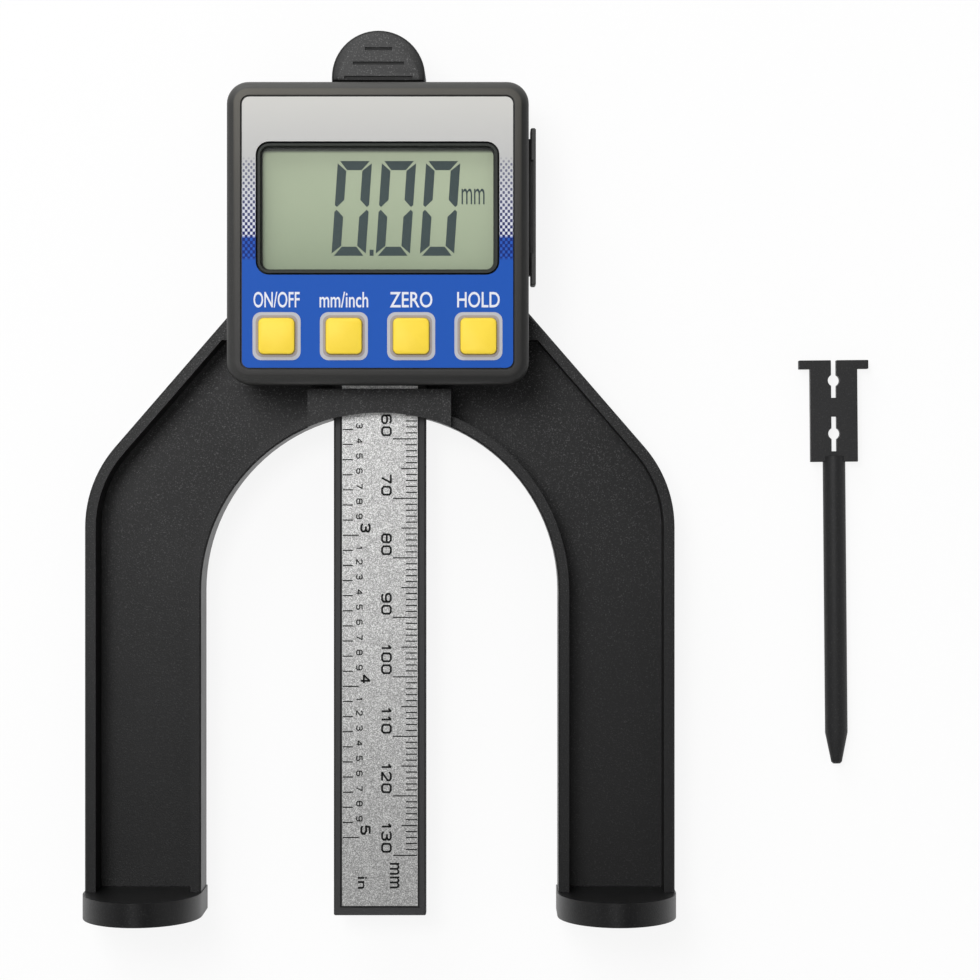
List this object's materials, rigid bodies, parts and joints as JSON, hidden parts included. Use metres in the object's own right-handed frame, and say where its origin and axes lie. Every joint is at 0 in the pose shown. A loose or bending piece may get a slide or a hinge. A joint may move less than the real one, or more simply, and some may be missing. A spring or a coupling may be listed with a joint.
{
  "type": "digital depth caliper",
  "caption": "Self-standing digital depth and height gauge: arch frame on magnetic feet, sliding graduated beam, display unit and a loose clip-on depth pin.",
  "frame": {"origin": "on the flat back face of the frame, behind the middle of the display unit; the feet plane is 113.9 mm away along -Y", "axes": "+X to the right of the display, +Y from the feet towards the pull tab, +Z out of the display; the gauge lies on its back at Z = 0"},
  "size_m": [0.1326, 0.1477, 0.027],
  "materials": {
    "frame_plastic": "fine moulded grain",
    "case_plastic": "fine spark-eroded grain",
    "beam_plastic": "smooth satin",
    "mask_plastic": "smooth",
    "button_rubber": "smooth silicone",
    "faceplate_film": "printed polyester film, satin",
    "display_glass": "grey-green liquid crystal panel",
    "clear_acrylic": "clear",
    "board_laminate": "solder mask",
    "chip_epoxy": "moulded",
    "contact_rubber": "matte",
    "scale_steel": "frosted, with black graduations",
    "plated_steel": "nickel plated",
    "spring_brass": "rolled",
    "magnet_nickel": "nickel plated"
  },
  "bodies": {
    "gauge": {"frame": "frame_plastic", "left_foot_magnet": "magnet_nickel", "right_foot_magnet": "magnet_nickel", "guide_spring": "spring_brass", "front_case": "case_plastic", "rear_case": "case_plastic", "faceplate": "faceplate_film", "display_surround": "mask_plastic", "display_window": "clear_acrylic", "display_panel": "display_glass", "contact_strip": "contact_rubber", "circuit_board": "board_laminate", "controller_chip": "chip_epoxy", "on_off_switch": "chip_epoxy", "unit_switch": "chip_epoxy", "zero_switch": "chip_epoxy", "hold_switch": "chip_epoxy", "negative_contact": "plated_steel", "positive_contact": "plated_steel", "lower_left_case_screw": "plated_steel", "lower_right_case_screw": "plated_steel", "upper_left_case_screw": "plated_steel", "upper_right_case_screw": "plated_steel"},
    "sliding_beam": {"beam": "beam_plastic", "scale_plate": "scale_steel", "pull_tab": "case_plastic", "tab_screw": "plated_steel"},
    "battery_tray": {"battery_drawer": "case_plastic", "coin_cell": "plated_steel"},
    "on_off_key": {"on_off_button": "button_rubber"},
    "unit_key": {"unit_button": "button_rubber"},
    "zero_key": {"zero_button": "button_rubber"},
    "hold_key": {"hold_button": "button_rubber"},
    "loose_pin": {"depth_pin": "frame_plastic"}
  },
  "joints": [
    {"name": "beam_slide", "type": "slide", "parent": "gauge", "child": "sliding_beam", "axis": [0, 1, 0], "range_m": [0, 0.08]},
    {"name": "battery_drawer_slide", "type": "slide", "parent": "gauge", "child": "battery_tray", "axis": [1, 0, 0], "range_m": [0, 0.022]},
    {"name": "on_off_press", "type": "slide", "parent": "gauge", "child": "on_off_key", "axis": [0, 0, -1], "range_m": [0, 0.0005], "stiffness_N_per_m": 1500},
    {"name": "unit_press", "type": "slide", "parent": "gauge", "child": "unit_key", "axis": [0, 0, -1], "range_m": [0, 0.0005], "stiffness_N_per_m": 1500},
    {"name": "zero_press", "type": "slide", "parent": "gauge", "child": "zero_key", "axis": [0, 0, -1], "range_m": [0, 0.0005], "stiffness_N_per_m": 1500},
    {"name": "hold_press", "type": "slide", "parent": "gauge", "child": "hold_key", "axis": [0, 0, -1], "range_m": [0, 0.0005], "stiffness_N_per_m": 1500},
    {"name": "pin_lift", "type": "slide", "parent": "gauge", "child": "loose_pin", "axis": [0, 0, 1], "range_m": [0, 0.03]}
  ]
}
